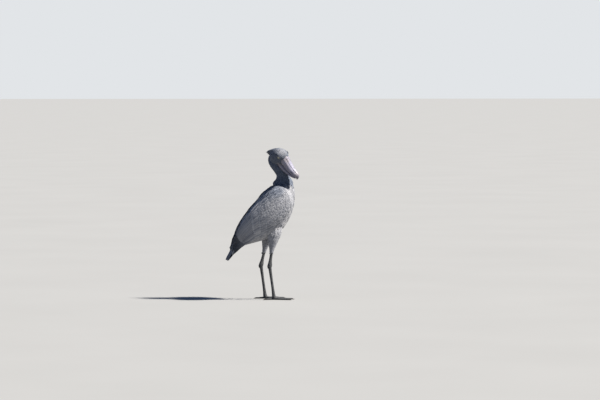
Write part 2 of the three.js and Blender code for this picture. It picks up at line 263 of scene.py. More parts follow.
def cast(name, nodes, voxel, rounds):
    """One smooth closed mesh over the outside of CAD nodes."""
    bpy.ops.object.select_all(action="DESELECT")
    for node in nodes:
        part = frame["nodes"][node].copy()
        part.data = part.data.copy()
        part.parent = None
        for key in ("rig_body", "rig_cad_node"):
            del part[key]
        bpy.context.scene.collection.objects.link(part)
        part.select_set(True)
        bpy.context.view_layer.objects.active = part
    bpy.ops.object.join()
    made = bpy.context.object
    made.name = made.data.name = name
    made.data.materials.clear()
    bpy.ops.object.mode_set(mode="EDIT")
    bpy.ops.mesh.select_all(action="SELECT")
    bpy.ops.mesh.remove_doubles(threshold=1e-5)
    bpy.ops.object.mode_set(mode="OBJECT")
    grid = made.modifiers.new("grid", "REMESH")
    grid.mode = "VOXEL"
    grid.voxel_size = voxel
    bpy.ops.object.modifier_apply(modifier="grid")
    soft = made.modifiers.new("soft", "SMOOTH")
    soft.factor = 0.5
    soft.iterations = rounds
    bpy.ops.object.modifier_apply(modifier="soft")
    smooth(made.data)
    return made


def read(rows, name, width, kind=float):
    values = np.zeros(len(rows) * width, kind)
    rows.foreach_get(name, values)
    return values.reshape(-1, width) if width > 1 else values


def unit(vectors):
    return vectors / np.maximum(np.linalg.norm(vectors, axis=-1, keepdims=True), 1e-9)


def mark(mesh, name, values):
    """Keeps a number at each vertex, for the mesh's material to read."""
    held = mesh.attributes.new(name, "FLOAT", "POINT")
    held.data.foreach_set("value", values.astype(np.float32))


def ramp(x, low, high):
    t = np.clip((x - low) / (high - low), 0, 1)
    return t * t * (3 - 2 * t)


def in_head(places):
    """Row-frame places in the head's own frame: X along the bill, Z up, in millimetres."""
    return (places - np.array(HEAD_PLACE)) @ head_turn * 1000


class Outline:
    """The outside of the plumage: its places, outward ways, faces, and what is known at each."""

    def __init__(self, thing):
        mesh = thing.data
        self.places = read(mesh.vertices, "co", 3)
        self.out = read(mesh.vertices, "normal", 3)
        self.faces = read(mesh.loops, "vertex_index", 1, np.int32).reshape(-1, 4)
        self.tree = BVHTree.FromPolygons(self.places.tolist(), self.faces.tolist())
        ends = read(mesh.edges, "vertices", 2, np.int32)
        both = np.concatenate([ends, ends[:, ::-1]])
        both = both[np.argsort(both[:, 0], kind="stable")]
        firsts = np.searchsorted(both[:, 0], np.arange(len(self.places)))
        order = np.arange(len(both)) - firsts[both[:, 0]]
        self.near = np.tile(np.arange(len(self.places))[:, None], (1, 6))
        kept = order < 6
        self.near[both[kept, 0], order[kept]] = both[kept, 1]

    def evened(self, field, rounds):
        for _ in range(rounds):
            field = (field + field[self.near].mean(1)) / 2
        return field

    def nearest(self, points):
        found = [self.tree.find_nearest(p) for p in points.tolist()]
        return np.array([f[0][:] for f in found]), np.array([f[2] for f in found])

    def at(self, faces, field):
        return field[self.faces[faces]].mean(1)

    def spread(self, share, spacing, seed):
        """Faces and places evenly spread where share is over a half. spacing may differ by vertex."""
        luck = np.random.default_rng(seed)
        corners = self.places[self.faces]
        crossed = np.cross(corners[:, 2] - corners[:, 0], corners[:, 3] - corners[:, 1])
        areas = np.linalg.norm(crossed, axis=1) / 2
        every = np.arange(len(self.faces))
        room = self.at(every, np.broadcast_to(spacing, len(self.places)))
        wanted = areas / room**2 * (self.at(every, share) > 0.5)
        tries = int(5 * wanted.sum()) + 10
        faces = luck.choice(len(self.faces), tries, p=wanted / wanted.sum())
        a, b = luck.random((2, tries, 1))
        c = corners[faces]
        points = (c[:, 0] * (1 - a) + c[:, 1] * a) * (1 - b) + (c[:, 3] * (1 - a) + c[:, 2] * a) * b
        tree = KDTree(tries)
        for i, p in enumerate(points.tolist()):
            tree.insert(p, i)
        tree.balance()
        open_yet = np.ones(tries, bool)
        taken = []
        for i, p in enumerate(points.tolist()):
            if open_yet[i]:
                taken.append(i)
                for _, j, _ in tree.find_range(p, 0.86 * room[faces[i]]):
                    open_yet[j] = False
        return faces[taken], points[taken]


SKIN_GRID, LEG_GRID, BILL_GRID, CLAW_GRID = 0.0034, 0.0016, 0.0015, 0.0009
skin = cast("skin", FLESH, SKIN_GRID, 5)
coat = Outline(skin)

corners, owners = [], []
for node in FLESH + ("bill_upper", "bill_lower"):
    mesh = frame["nodes"][node].data
    mesh.calc_loop_triangles()
    corners.append(read(mesh.vertices, "co", 3)[read(mesh.loop_triangles, "vertices", 3, np.int32)])
    owners += [node.split("_")[0]] * len(corners[-1])
spots = np.concatenate(corners).reshape(-1, 3).tolist()
triangles = np.arange(len(spots)).reshape(-1, 3)
is_bill = np.array([owner == "bill" for owner in owners])
flesh_only = BVHTree.FromPolygons(spots, triangles[~is_bill].tolist())
bill_only = BVHTree.FromPolygons(spots, triangles[is_bill].tolist())
flesh_owners = [owner for owner in owners if owner != "bill"]
part_at = np.array([flesh_owners[flesh_only.find_nearest(p)[2]] for p in coat.places.tolist()])
FAR_FROM_BILL = 0.05
bill_hits = [bill_only.find_nearest(p, FAR_FROM_BILL)[3] for p in coat.places.tolist()]
to_bill = np.array([hit or FAR_FROM_BILL for hit in bill_hits])
SIDES = (("right", -1), ("left", 1))
EYE_FORWARD, EYE_OUT, EYE_UP = 0.009, 0.044, 0.005
eyes_at = {}
for side, sign in SIDES:
    eyes_at[side] = np.array(on_head @ Vector((EYE_FORWARD, sign * EYE_OUT, EYE_UP)))
to_eye = np.min([np.linalg.norm(coat.places - place, axis=1) for place in eyes_at.values()], axis=0)

depth = coat.evened(np.array([PLUMAGE[p][0] for p in part_at]) / 1000, 40)
depth = np.minimum(depth, 0.0004 + 0.22 * np.maximum(to_bill - 0.0005, 0))
depth = np.minimum(depth, 0.0005 + 0.35 * np.maximum(to_eye - 0.014, 0))
BODY_THICK = 0.2
just_in = (coat.places - coat.out * 2e-4).tolist()
inward = [coat.tree.ray_cast(p, w, BODY_THICK)[3] for p, w in zip(just_in, (-coat.out).tolist())]
thick = coat.evened(np.array([BODY_THICK if far is None else far for far in inward]), 3)
depth = coat.evened(np.minimum(depth, 0.34 * thick), 3)
# The mantle and the root of the neck are darker than the breast: partly their own slate, partly painted
# shade where the head's shadow falls on them.
SHOULDER_HEIGHT, BREAST_FROM, COLLAR_SLOPE = 0.825, 0.144, 1.87
collar = SHOULDER_HEIGHT + COLLAR_SLOPE * np.maximum(coat.places[:, 0] - BREAST_FROM, 0)
# Painted shade: the darkening above the collar line stands in for the head's cast shadow as well as the
# mantle's own darker slate.
mantle_and_cast_shade = ramp(coat.places[:, 2] - collar, -0.03, 0.03) * (part_at != "head") * (part_at != "crest")
# The crown is made paler than the face: painted light on the top of the head.
painted_crown_light = ramp(in_head(coat.places)[:, 2], 18, 34) * (part_at == "head")
pale = np.array([PLUMAGE[p][1] for p in part_at]) * (1 - 0.85 * mantle_and_cast_shade) + 0.75 * painted_crown_light
pale = coat.evened(pale, 60)
lie = coat.evened(np.array([LIE[p] for p in part_at]), 160)
lie = unit(lie - coat.out * np.sum(lie * coat.out, axis=1, keepdims=True))
lie = unit(coat.evened(lie, 10))

sunk = coat.places - coat.out * depth[:, None]
# The skin is drawn in at the tail's end, so that only quills are seen there.
DRAWN_IN, NARROWED = (0.0065, 0, 0.01), 0.07
tail_end = ramp(-coat.places[:, 2], -0.36, -0.315) * (part_at == "tail")
sunk += tail_end[:, None] * DRAWN_IN
sunk[:, 1] *= 1 - NARROWED * tail_end
skin.data.vertices.foreach_set("co", sunk.ravel())
skin.data.update()
mark(skin.data, "pale", pale)
pick(skin)
bpy.ops.object.mode_set(mode="EDIT")
bpy.ops.mesh.select_all(action="SELECT")
bpy.ops.uv.smart_project(angle_limit=math.radians(66), island_margin=0.002)
bpy.ops.object.mode_set(mode="OBJECT")
skin.data.uv_layers[0].name = "OFBake"
face_map = read(skin.data.uv_layers["OFBake"].uv, "vector", 2).reshape(-1, 4, 2).mean(1)

SLATE = paint(70, 80, 96)
PALE_SLATE = paint(146, 146, 149)


def ground_colour(start):
    """The plumage's colour, on skin and feathers alike: slate, paler on breast and belly, with painted
    shade on face, neck and mantle and painted light on the crown.
    """
    pale = start.attribute("pale")
    cloud = start.noise(11, 3.0)
    return (pale * 0.9 + (cloud - 0.5) * 0.5).mixed(SLATE, PALE_SLATE)


skin_look, start, sockets = finish_of("plumed_skin", {"Roughness": 0.85, "Specular IOR Level": 0.25})
grain = start.noise(420, 4.0)
folds = start.noise(90, 3.0, stretch=(1, 1, 0.4))
feed(
    start,
    sockets,
    Base_Color=(0.55 + grain * 0.2).mixed(ground_colour(start), paint(58, 64, 72)),
    Normal=start.bump(folds * 0.6 + grain * 0.4, 0.6, 0.0012),
)
skin.data.materials.append(skin_look)
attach(skin, "root")
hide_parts(*FLESH)

# Bare legs: each a slim shank, the long tarsus below the ankle and four long unwebbed toes, under
# one dark hide of small scales, with broad scutes over the toes. The top is hidden in the thigh.
TOES = ("middle", "inner", "outer", "hind")
SCUTE_LONG, SCUTE_HIGH = 0.0068, 0.0006
LEG_DARK = paint(42, 44, 47)
LEG_LIGHT = paint(96, 96, 95)
leg_look, start, sockets = finish_of("leg_hide", {"Roughness": 0.6, "Specular IOR Level": 0.35})
where = start.make("ShaderNodeTexCoord", {}, {}, "Object")
small = start.make("ShaderNodeTexVoronoi", {"feature": "DISTANCE_TO_EDGE"}, {"Vector": where, "Scale": 270})
cells = start.make("ShaderNodeTexVoronoi", {}, {"Vector": where, "Scale": 270}, "Color")
cell_tone = start.make("ShaderNodeSeparateColor", {}, {"Color": cells})
scute_seam = (start.attribute("scute").wave() * 0.5 + 0.5).step(0.0, 0.16)
on_scutes = start.attribute("scuted")
seams = on_scutes * scute_seam + (1 - on_scutes) * small.step(0.0, 0.16)
dusty = start.noise(28, 4.0)
worn = (0.16 + cell_tone * 0.3 + (dusty - 0.5) * 0.9) * seams
feed(
    start,
    sockets,
    Base_Color=worn.mixed(LEG_DARK, LEG_LIGHT),
    Roughness=0.45 + dusty * 0.3,
    Normal=start.bump(seams, 0.8, 0.0007),
)
for side in ("right", "left"):
    nodes = ["shank_" + side, "tarsus_" + side] + ["toe_%s_%s" % (toe, side) for toe in TOES]
    leg = cast("bare_leg_" + side, nodes, LEG_GRID, 3)
    places = read(leg.data.vertices, "co", 3)
    out = read(leg.data.vertices, "normal", 3)
    low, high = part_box("tarsus_" + side)
    foot_x = (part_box("toe_middle_" + side)[0].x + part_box("toe_inner_" + side)[0].x) / 2
    away = np.linalg.norm(places[:, :2] - (foot_x, (low.y + high.y) / 2), axis=1)
    along = np.where(places[:, 2] > 0.04, places[:, 2], away)
    scuted = ramp(out[:, 2], 0.15, 0.5) * ramp(places[:, 2], 0.05, 0.035) * ramp(away, 0.012, 0.026)
    front = ramp(out[:, 0], 0.3, 0.7) * ramp(places[:, 2], 0.03, 0.06)
    scuted = np.maximum(scuted, front * ramp(places[:, 2], 0.26, 0.22))
    scute = along * 2 * np.pi / SCUTE_LONG
    rise = (0.5 + 0.5 * np.sin(scute)) ** 0.35 * SCUTE_HIGH * scuted
    places = places + out * rise[:, None]
    places[:, 2] = np.maximum(places[:, 2], 0)
    leg.data.vertices.foreach_set("co", places.ravel())
    leg.data.update()
    mark(leg.data, "scute", scute)
    mark(leg.data, "scuted", scuted)
    leg.data.materials.append(leg_look)
    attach(leg, "root")
    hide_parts(*nodes)

# Claws: eight curved horn claws, near black and lightly ridged lengthwise. Each grows out of the
# end of a toe and lies on the ground.
claw_look, start, sockets = finish_of("claw_horn", {"Roughness": 0.4, "Specular IOR Level": 0.5})
streak = start.noise(300, 3.0)
feed(
    start,
    sockets,
    Base_Color=streak.mixed(paint(24, 23, 23), paint(74, 70, 66)),
    Roughness=0.3 + streak * 0.25,
    Normal=start.bump(streak, 0.3, 0.0004),
)
for side in ("right", "left"):
    nodes = ["claw_%s_%s" % (toe, side) for toe in TOES]
    claws = cast("claws_" + side, nodes, CLAW_GRID, 3)
    places = read(claws.data.vertices, "co", 3)
    places[:, 2] = np.maximum(places[:, 2], 0)
    claws.data.vertices.foreach_set("co", places.ravel())
    claws.data.materials.append(claw_look)
    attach(claws, "root")
    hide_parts(*nodes)

# Bill: two horn sheaths. The upper has a keel, a groove on each side of it with a slit nostril
# at its root, and a hooked nail at its end; the lower fits up inside its sharp edges.
BILL_PALE = paint(132, 130, 145)
BILL_DARK = paint(60, 57, 70)
BILL_WARM = paint(128, 120, 114)
bill_look, start, sockets = finish_of("bill_horn", {"Roughness": 0.42, "Specular IOR Level": 0.45})
blotch = start.noise(30, 4.0, 0.6).step(0.52, 0.66)
speck = start.noise(130, 3.0, 0.6).step(0.56, 0.68)
fibre = start.noise(95, 3.0, 0.6, stretch=(0.25, 1, 1), turn=(-HEAD_TILT, -HEAD_NOD, -HEAD_TURN))
# The tip mark darkens the nail's end, and, as painted shade, the underside of the hook.
dark_tip_and_hook_shade = start.attribute("tip")
# The groove mark darkens nostrils and grooves, and, as painted shade, the upper bill's sides and underside.
grooves_and_side_shade = start.attribute("groove")
warm = start.noise(17, 2.0).step(0.45, 0.65) * 0.55
colour = warm.mixed(BILL_PALE, BILL_WARM)
colour = ((blotch * 0.75 + speck * 0.4) * (0.35 + fibre * 0.6)).mixed(colour, BILL_DARK)
colour = (dark_tip_and_hook_shade * 0.7).mixed(colour, paint(72, 68, 74))
colour = (grooves_and_side_shade * 0.8).mixed(colour, paint(50, 46, 58))
feed(
    start,
    sockets,
    Base_Color=colour,
    Roughness=0.34 + fibre * 0.2 + blotch * 0.08,
    Normal=start.bump(fibre * 0.7 + speck * 0.3, 0.35, 0.0009),
)
# Places along the upper bill and its half-width at each, in millimetres.
ALONG_BILL = (12, 42, 62, 90, 120, 148, 174, 196, 211, 217)
HALF_WIDTH = (34, 40, 40, 38.5, 36, 33, 29, 24, 17, 10)


def bell(x, middle, reach):
    return np.exp(-(((x - middle) / reach) ** 2))


for half in ("upper", "lower"):
    bill = cast("bill_" + half + "_horn", ["bill_" + half], BILL_GRID, 3)
    places = read(bill.data.vertices, "co", 3)
    out = read(bill.data.vertices, "normal", 3)
    x, y, z = in_head(places).T
    up = (out @ head_turn)[:, 2]
    if half == "upper":
        wide = np.interp(x, ALONG_BILL, HALF_WIDTH)
        beside = wide * (0.36 - 0.06 * ramp(x, 60, 190))
        groove = bell(np.abs(y), beside, 1.7) * ramp(up, 0.2, 0.6) * ramp(x, 46, 56) * ramp(x, 205, 185)
        nostril = bell(np.abs(y), beside, 1.6) * bell(x, 57, 5.5) * ramp(up, 0.2, 0.5)
        nail = ramp(x, 186, 190) * 0.45
        lip = bell(np.abs(y), wide * 0.97, 3) * ramp(np.abs(up), 0.6, 0.2) * 0.4
        shoulder = bell(np.abs(y), beside * 0.55, 2.4) * ramp(up, 0.2, 0.6)
        sunk = 1.3 * groove + 2.6 * nostril - nail - lip - 0.5 * shoulder
        # Nostril and grooves are darker, and the sides and underside are darker than the top: painted
        # shade.
        dark = 1.3 * nostril + 0.35 * groove + 0.42 * ramp(up, 0.5, 0.1)
        # The nail's end is darker, and the underside of the hook is darkened as painted shade.
        tip = ramp(x, 196, 214) * 0.7 + ramp(z, -66, -78) * ramp(x, 190, 205) * 0.5
    else:
        groove = bell(z, -0.12 * x - 66, 1.8) * ramp(np.abs(up), 0.8, 0.4) * ramp(x, 20, 50)
        sunk = 0.9 * groove
        dark = 0.3 * groove + 0.3 * ramp(np.abs(y), 20, 32)
        tip = ramp(x, 176, 196) * 0.5
    ripple = 0.25 * np.sin(x * 0.31 + 0.9 * np.sin(y * 0.13)) + 0.2 * np.sin(x * 0.13 + y * 0.21 + z * 0.17)
    places = places - out * ((sunk + ripple * 0.6) / 1000)[:, None]
    bill.data.vertices.foreach_set("co", places.ravel())
    bill.data.update()
    mark(bill.data, "tip", np.clip(tip, 0, 1))
    mark(bill.data, "groove", np.clip(dark, 0, 1))
    bill.data.materials.append(bill_look)
    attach(bill, "root")
    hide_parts("bill_" + half)

# Eyes: pale balls with a black pupil, wet and glossy, each set in its socket inside a ring of
# bare wrinkled lid that grips the ball. The eyes look out, a little ahead and down.
EYE_RADIUS = 0.0122
eye_look, start, sockets = finish_of(
    "eye_wet", {"Roughness": 0.12, "Specular IOR Level": 0.6, "Coat Weight": 1.0, "Coat Roughness": 0.03}
)
reach = start.attribute("from_pupil")
rays = start.noise(900, 3.0)
iris = ((reach - 3.4) * 0.22 + (rays - 0.5) * 0.5).mixed(paint(160, 156, 124), paint(190, 187, 165))
iris = reach.step(7.6, 8.3).mixed(iris, paint(58, 56, 52))
iris = reach.step(8.4, 9.2).mixed(iris, paint(150, 140, 128))
feed(start, sockets, Base_Color=reach.step(3.2, 3.7).mixed(paint(6, 6, 7), iris))

lid_look, start, sockets = finish_of("lid_skin", {"Roughness": 0.6, "Specular IOR Level": 0.35})
crease = start.noise(600, 4.0)
feed(
    start,
    sockets,
    Base_Color=(crease * 0.8).mixed(paint(50, 57, 69), paint(92, 96, 104)),
    Normal=start.bump(crease, 0.6, 0.0006),
)
# A lid's section: how far out from the ball's rim and how far above it each point lies, in mm.
LID_SECTION = (
    ((0, -0.5), (0.1, 0.4), (0.9, 0.85), (1.7, 0.7), (2.3, 0.3), (3.1, 0.5), (3.9, 0.2))
    + ((4.5, -0.4), (5.3, -0.5), (6.5, -2.1), (7.6, -4.4), (5.0, -6.4), (1.5, -4.5))
)
LID_STEPS = 72
for side, sign in SIDES:
    axis = turned.to_3x3() @ Vector((0.16, sign, -0.06)).normalized()
    bpy.ops.mesh.primitive_uv_sphere_add(
        segments=64,
        ring_count=48,
        radius=EYE_RADIUS,
        location=Vector(eyes_at[side]),
        rotation=axis.to_track_quat("Z", "Y").to_euler(),
    )
    ball = bpy.context.object
    ball.name = "eyeball_" + side
    bpy.ops.object.transform_apply(location=True, rotation=True, scale=True)
    places = read(ball.data.vertices, "co", 3)
    away = places - eyes_at[side]
    rise = away @ np.array(axis)
    from_axis = np.linalg.norm(away - np.outer(rise, axis), axis=1) * 1000
    from_axis = np.where(rise > 0, from_axis, 12.5)
    places += np.outer(0.0011 * np.clip(1 - (from_axis / 8.4) ** 2, 0, 1) ** 0.8, axis)
    ball.data.vertices.foreach_set("co", places.ravel())
    mark(ball.data, "from_pupil", from_axis)
    smooth(ball.data)
    ball.data.materials.append(eye_look)
    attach(ball, "root")
    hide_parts("eye_" + side)

    brow_way = turned.to_3x3() @ Vector((-0.1, 0, 1))
    up_way = (brow_way - axis * brow_way.dot(axis)).normalized()
    fore_way = up_way.cross(axis) * sign
    angles = np.arange(LID_STEPS) * 2 * np.pi / LID_STEPS
    upper = np.clip(np.sin(angles), 0, 1)
    rim = 1 / np.sqrt((np.cos(angles) / 9.3) ** 2 + (np.sin(angles) / (7.7 - 0.9 * upper)) ** 2)
    rim_rise = np.sqrt((EYE_RADIUS * 1000) ** 2 - rim**2) + 0.4
    ring = []
    for k, (beyond, above) in enumerate(LID_SECTION):
        wrinkle = 0.16 * np.sin(angles * 19 + k * 1.7) + 0.12 * np.sin(angles * 31 + k)
        radius = rim + beyond * (1 + 0.14 * upper)
        height = rim_rise + above + wrinkle * (1 < k < 10) + 0.7 * upper * (0.6 < beyond < 7)
        spot = np.outer(np.cos(angles) * radius, fore_way) + np.outer(np.sin(angles) * radius, up_way)
        ring.append(eyes_at[side] + (spot + np.outer(height, axis)) / 1000)
    lid_places = np.concatenate(ring)
    here = np.arange(len(lid_places)).reshape(-1, LID_STEPS)
    below = np.roll(here, -1, 0)
    lid_faces = np.stack([here, below, np.roll(below, -1, 1), np.roll(here, -1, 1)], -1).reshape(-1, 4)
    lid_mesh = bpy.data.meshes.new("lids_" + side)
    lid_mesh.from_pydata(lid_places.tolist(), [], lid_faces.tolist())
    lids = bpy.data.objects.new("lids_" + side, lid_mesh)
    bpy.context.scene.collection.objects.link(lids)
    pick(lids)
    bpy.ops.object.mode_set(mode="EDIT")
    bpy.ops.mesh.select_all(action="SELECT")
    bpy.ops.mesh.normals_make_consistent(inside=False)
    bpy.ops.object.mode_set(mode="OBJECT")
    rounder = lids.modifiers.new("rounder", "SUBSURF")
    rounder.levels = rounder.render_levels = 1
    bpy.ops.object.modifier_apply(modifier="rounder")
    smooth(lids.data)
    lids.data.materials.append(lid_look)
    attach(lids, "root")

# Face and crown: very small soft feathers, smallest round the bill and eyes, lying back over the
# head. Each is a thin closed vane laid over the skin, its root in it and its tip just clear.
SMALL_VANE = ((0, 0.45), (0.35, 1), (0.75, 0.8), (1, 0.15))
NARROW = ((-1, 0), (0, 1), (1, 0), (0, -0.35))
BROAD = ((-1, 0), (-0.55, 0.62), (0, 1), (0.55, 0.62), (1, 0), (0, 0.25))
BAKE_PATCH = 0.003
# How far under the plumage's outside a root lies, in depths of the plumage.
TUCK = 1.05


def comb(outline, faces, roots, long, shares, luck, stray=0.12):
    """Lines that lie along the plumage from each root: places, ways out and faces at each share."""
    lines, outs, crossed = [], [], []
    long = np.broadcast_to(long, len(roots))
    at, face, way = roots, faces, None
    lean = luck.normal(0, stray, (len(roots), 1))
    for s in range(len(shares)):
        if s:
            ahead_by = (shares[s] - shares[s - 1]) * long
            at, face = outline.nearest(at + way * ahead_by[:, None])
        out = unit(outline.at(face, outline.out))
        field = unit(outline.at(face, lie))
        field = unit(field + np.cross(out, field) * lean)
        way = field if way is None else unit(way * 0.55 + field * 0.45)
        way = unit(way - out * np.sum(way * out, axis=1, keepdims=True))
        lines.append(at)
        outs.append(out)
        crossed.append(face)
    return np.stack(lines, 1), np.stack(outs, 1), np.stack(crossed, 1)


def vanes(name, lines, outs, wide, shape, section, roof, root_map, marks, luck, ragged=0.06):
    """One mesh of closed feathers. lines and outs are (feather, share, 3) and wide is full widths."""
    count, steps, points = len(lines), len(shape), len(section)
    shares = np.array([s for s, _ in shape])
    full = np.array([w for _, w in shape])
    way = unit(np.gradient(lines, axis=1))
    side = unit(np.cross(outs, way))
    out = np.cross(way, side)
    half = np.broadcast_to(wide, count)[:, None] / 2 * full * (1 + luck.normal(0, ragged, (count, steps)))
    across = np.array([u for u, _ in section])
    rise = np.array([v for _, v in section])
    uneven = 1 + luck.normal(0, ragged, (count, steps, points)) * (np.abs(across) > 0.9)
    u = half[:, :, None] * across * uneven
    v = half[:, :, None] * rise * roof
    places = lines[:, :, None] + side[:, :, None] * u[..., None] + out[:, :, None] * v[..., None]
    steps_at = np.arange(steps - 1)[:, None] * points
    a = np.arange(points)
    b = (a + 1) % points
    quads = np.stack([steps_at + b, steps_at + a, steps_at + points + a, steps_at + points + b], -1)
    quads = quads.reshape(-1, 4)
    first, last = a, (a + (steps - 1) * points)[::-1]
    loops = np.concatenate([quads.ravel(), first, last])
    sizes = np.concatenate([np.full(len(quads), 4), [points, points]])
    per = steps * points
    loops = (loops + np.arange(count)[:, None] * per).ravel()
    starts = np.concatenate([[0], np.cumsum(np.tile(sizes, count))[:-1]])
    mesh = bpy.data.meshes.new(name)
    mesh.vertices.add(count * per)
    mesh.vertices.foreach_set("co", places.astype(np.float32).ravel())
    mesh.loops.add(len(loops))
    mesh.loops.foreach_set("vertex_index", loops.astype(np.int32))
    mesh.polygons.add(len(starts))
    mesh.polygons.foreach_set("loop_start", starts.astype(np.int32))
    smooth(mesh)
    mesh.update(calc_edges=True)
    ends = read(mesh.edges, "vertices", 2, np.int32) % points
    margin = (ends[:, 0] == ends[:, 1]) & (np.abs(across[ends[:, 0]]) > 0.9)
    mesh.attributes.new("sharp_edge", "BOOLEAN", "EDGE").data.foreach_set("value", margin)

    long = np.linalg.norm(np.diff(lines, axis=1), axis=2).sum(1)
    share = np.tile(shares[None, :, None], (count, 1, points))
    vane_map = np.stack([u, share * long[:, None, None]], -1).reshape(-1, 2)
    patch = np.stack([np.broadcast_to(across / 2, share.shape), share - 0.5], -1) * BAKE_PATCH
    bake_map = (root_map[:, None, None] + patch).reshape(-1, 2)
    for title, values in (("OFBake", bake_map), ("vane", vane_map)):
        layer = mesh.uv_layers.new(name=title)
        layer.uv.foreach_set("vector", values[loops].astype(np.float32).ravel())
    marks = dict(marks, edge=np.broadcast_to(np.abs(across), share.shape), share=share)
    for title, values in marks.items():
        values = np.asarray(values, float)
        values = values.reshape(values.shape + (1,) * (3 - values.ndim))
        held = mesh.attributes.new(title, "FLOAT", "POINT")
        held.data.foreach_set("value", np.broadcast_to(values, share.shape).astype(np.float32).ravel())
    piece = bpy.data.objects.new(name, mesh)
    bpy.context.scene.collection.objects.link(piece)
    return piece


def tinted(start, colour, tint):
    """A colour multiplied by another."""
    settings = {"data_type": "RGBA", "blend_type": "MULTIPLY"}
    return start.make("ShaderNodeMix", settings, {0: 1.0, 6: colour, 7: tint}, 2)


def feather_finish(name, shaft, rim, barb, dark_tip=0.0):
    """Barbed vanes: darker shafts, paler rims, fine slanting barbs and a tone for each feather."""
    material, start, sockets = finish_of(
        name, {"Roughness": 0.78, "Specular IOR Level": 0.3, "Sheen Weight": 0.12, "Sheen Roughness": 0.5}
    )
    edge, share = start.attribute("edge"), start.attribute("share")
    flat = start.make("ShaderNodeUVMap", {"uv_map": "vane"}, {})
    across, along = (start.make("ShaderNodeSeparateXYZ", {}, {0: flat}, axis) for axis in (0, 1))
    slant = ((along - across.size() * 0.9) * (2 * math.pi / barb)).wave()
    colour = ground_colour(start)
    dull = tinted(start, colour, (0.74, 0.75, 0.78, 1))
    bright = tinted(start, colour, (1.2, 1.19, 1.16, 1))
    colour = (0.5 + start.attribute("tone") * 0.5 + slant * 0.08).mixed(dull, bright)
    pale_rim = (edge.step(0.72, 1.0) * 0.8 + share.step(0.88, 1.0) * 0.6).least(1.0) * rim
    colour = pale_rim.mixed(colour, paint(178, 181, 185))
    stem = across.size().step(0.0011, 0.0004) * share.step(1.0, 0.8) * shaft
    colour = stem.mixed(colour, paint(44, 48, 56))
    if dark_tip:
        colour = (start.attribute("dark") * dark_tip).mixed(colour, paint(34, 37, 42))
    feed(
        start,
        sockets,
        Base_Color=colour,
        Normal=start.bump(slant * 0.5 + stem, 0.45, 0.0005),
    )
    return material


def lay(name, faces, roots, long, wide, shape, section, seed, look, roof=0.3, clear=0.08, loose=0.12,
        stray=0.12):
    """Combs feathers from their roots and builds them as one piece on the body."""
    luck = np.random.default_rng(seed)
    shares = [s for s, _ in shape]
    lines, outs, crossed = comb(coat, faces, roots, long, shares, luck, stray)
    deep = np.stack([coat.at(crossed[:, s], depth) for s in range(len(shares))], 1)
    tips = -clear - np.abs(luck.normal(0, loose, (len(roots), 1)))
    rise = np.sin(np.array(shares) * np.pi / 2) ** 0.75
    lift = deep * (-TUCK + (tips + TUCK) * rise)
    lines = lines + outs * lift[..., None]
    marks = {"tone": luck.uniform(-1, 1, len(roots)), "pale": coat.at(faces, pale)}
    piece = vanes(name, lines, outs, wide, shape, section, roof, face_map[faces], marks, luck)
    piece.data.materials.append(look)
    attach(piece, "root")


soft_look = feather_finish("face_down", 0.25, 0.3, 0.0011)
FACE_LONG, FACE_WIDE, FACE_APART = 0.0105, 0.0042, 0.0030
where_head = part_at == "head"
bare = (to_bill < 0.0016) | (to_eye < 0.0148)
head_at = in_head(coat.places)
face_size = 0.5 + 0.5 * ramp(np.minimum(to_bill / 0.03, (to_eye - 0.013) / 0.022), 0, 1)
face_size = face_size * (1 + 0.5 * ramp(-head_at[:, 0], 20, 90))
faces, roots = coat.spread(coat.evened(where_head, 2) * ~bare, FACE_APART * face_size, 3)
sizes = coat.at(faces, face_size)
lay("face_feathers", faces, roots, FACE_LONG * sizes, FACE_WIDE * sizes, SMALL_VANE, NARROW, 11, soft_look,
    roof=0.35, loose=0.2, stray=0.2)

# Neck: short soft feathers that lie over each other like shingles and grow longer towards the
# body. Each is rooted in the skin and combed down the neck.
neck_look = feather_finish("neck_feather", 0.3, 0.32, 0.0013)
NECK_VANE = ((0, 0.4), (0.25, 0.9), (0.55, 1), (0.82, 0.7), (1, 0.08))
NECK_LONG, NECK_WIDE, NECK_APART = 0.027, 0.0088, 0.0056
where_neck = part_at == "neck"
neck_size = 1 + 0.7 * ramp(-coat.places[:, 2], -1.06, -0.94)
faces, roots = coat.spread(where_neck, NECK_APART * neck_size, 4)
sizes = coat.at(faces, neck_size)
lay("neck_feathers", faces, roots, NECK_LONG * sizes, NECK_WIDE * sizes, NECK_VANE, NARROW, 12, neck_look,
    loose=0.2, stray=0.14)

# Crest: a small tuft of narrow feathers that grows from the back of the crown and lies back over
# the nape. The upper ones are longest, and the lower ones fill in down to the nape.
CREST_VANE = ((0, 0.3), (0.2, 0.8), (0.5, 1), (0.75, 0.75), (0.92, 0.4), (1, 0.05))
CREST_FEATHERS = 170
SKULL_BACK = math.radians(34)
luck = np.random.default_rng(21)


def bent(x, z):
    """From a skull in line with the bill to the skull as it is carried, in millimetres."""
    turn = -SKULL_BACK / (1 + np.exp((x - 10) / 14))
    return x * np.cos(turn) + z * np.sin(turn), z * np.cos(turn) - x * np.sin(turn)


